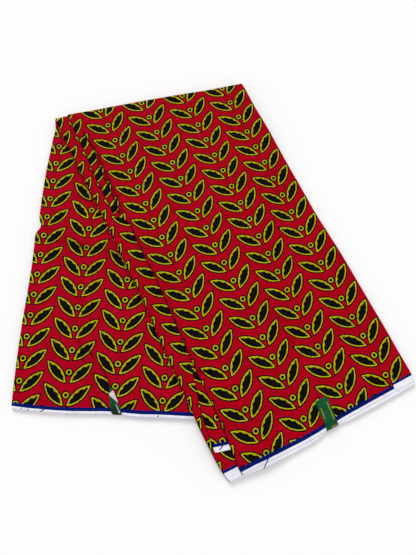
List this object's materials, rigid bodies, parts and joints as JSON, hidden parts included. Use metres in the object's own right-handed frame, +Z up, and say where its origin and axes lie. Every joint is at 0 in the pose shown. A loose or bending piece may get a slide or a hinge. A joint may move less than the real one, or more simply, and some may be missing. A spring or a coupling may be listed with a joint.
{
  "type": "folded printed fabric",
  "caption": "Length of printed cotton cloth, pressed in layers, folded over askew and fanned out flat, with striped selvedges and stuck-on labels.",
  "frame": {"origin": "middle of the footprint, on the surface that the cloth lies on", "axes": "+Z up; +Y towards the fold across the cloth, away from a viewer who stands at the selvedges; +X to that viewer's right"},
  "size_m": [0.6346, 0.6886, 0.0164],
  "materials": {
    "layer_edges": "matte printed cotton, white at the selvedges",
    "back_print": "matte printed cotton, red ground with black and yellow motifs",
    "front_print": "matte printed cotton, red ground with black and yellow motifs",
    "pleat_print": "matte printed cotton, red ground with black and yellow motifs",
    "inner_pleat_print": "matte printed cotton, red ground with black and yellow motifs",
    "front_label_paper": "smooth coated label, green with plain gold bars",
    "back_label_paper": "smooth coated label, green face and pale back"
  },
  "bodies": {
    "root": {"hidden_layers": "layer_edges", "back_panel": "back_print", "front_panel": "front_print", "outer_pleat": "pleat_print", "inner_pleat": "inner_pleat_print", "front_label": "front_label_paper", "back_label": "back_label_paper"}
  },
  "joints": []
}
